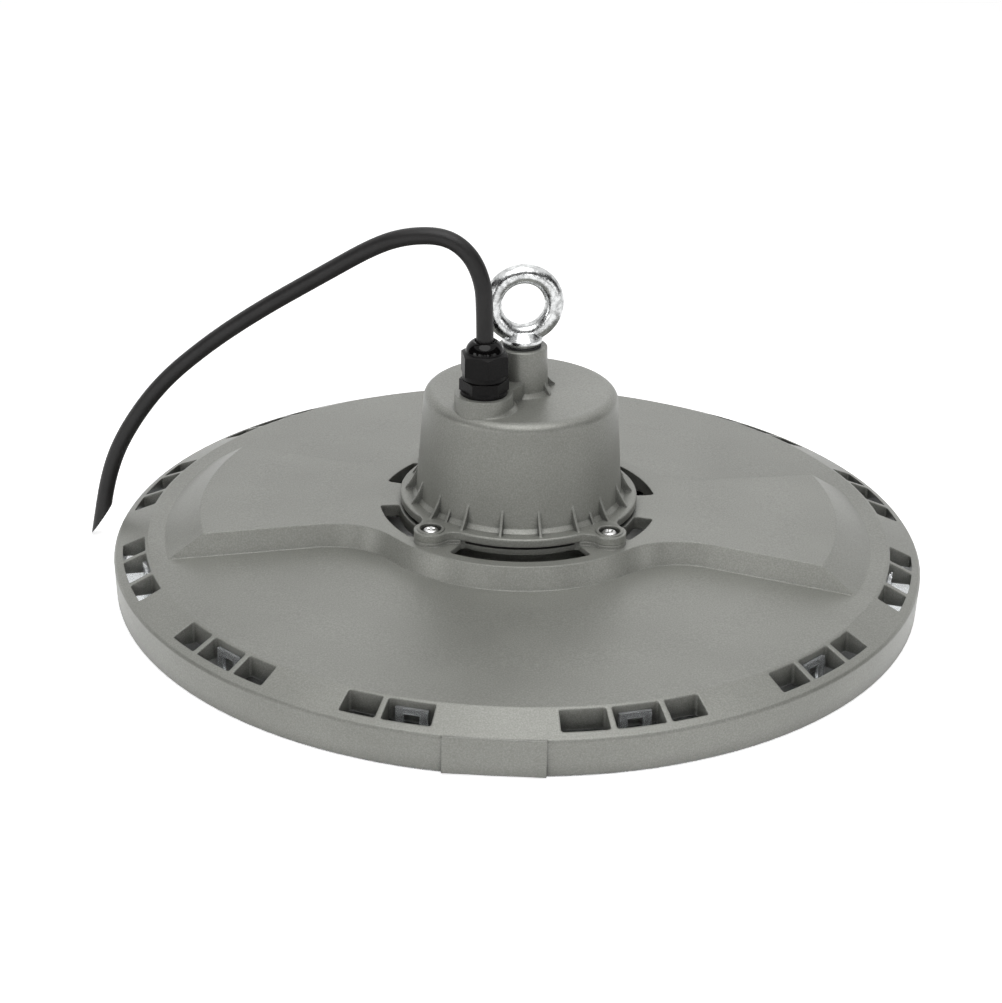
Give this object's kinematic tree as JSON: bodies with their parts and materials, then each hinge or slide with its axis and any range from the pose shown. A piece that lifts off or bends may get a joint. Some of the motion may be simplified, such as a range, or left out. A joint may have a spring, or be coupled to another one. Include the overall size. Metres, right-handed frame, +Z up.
{
  "type": "high bay light",
  "caption": "Round suspended industrial light: shallow vented disc casting with two raised arms, central driver housing, eye bolt, cable gland and hanging flex.",
  "frame": {"origin": "on the disc's axis, at the flat surface that the lens flange stands on", "axes": "+Z up along the disc's axis towards the eye bolt, +X to the right and -Y to the front as the picture shows it"},
  "size_m": [0.3986, 0.3807, 0.1769],
  "materials": {
    "body_coat": "fine textured grey powder coat on die-cast aluminium",
    "bare_aluminium": "bare rolled sheet",
    "board_white": "white solder mask",
    "led_lens": "yellow phosphor",
    "zinc": "bright zinc plate",
    "clear_lens": "clear polycarbonate",
    "seal_rubber": "matt",
    "bright_steel": "bright zinc plate, satin",
    "gland_black": "glossy nylon",
    "cable_sheath": "satin rubber",
    "moulding_white": "moulded",
    "board_green": "solder mask",
    "ferrite": "ground",
    "winding_tape": "tape",
    "can_sleeve": "shrink sleeve",
    "lead_sheath": "grey sheath"
  },
  "bodies": {
    "root": {"disc_casting": "body_coat", "driver_housing": "body_coat", "led_tray": "bare_aluminium", "led_board": "board_white", "led_packages": "led_lens", "tray_screws": "zinc", "board_screws": "zinc", "lens_cover": "clear_lens", "lens_gasket": "seal_rubber", "housing_gasket": "seal_rubber", "housing_screws": "zinc", "eye_bolt": "bright_steel", "eye_bolt_seal": "seal_rubber", "gland_washer": "gland_black", "gland_body": "gland_black", "gland_seal": "seal_rubber", "gland_dome_nut": "gland_black", "gland_locknut": "gland_black", "cable_entry": "cable_sheath", "supply_cable": "cable_sheath", "cable_end": "cable_sheath", "terminal_block": "moulding_white", "driver_board": "board_green", "driver_screws": "zinc", "transformer_core": "ferrite", "transformer_coil": "winding_tape", "capacitors": "can_sleeve", "choke": "ferrite", "output_lead": "lead_sheath", "lead_grommet": "seal_rubber"}
  },
  "joints": []
}
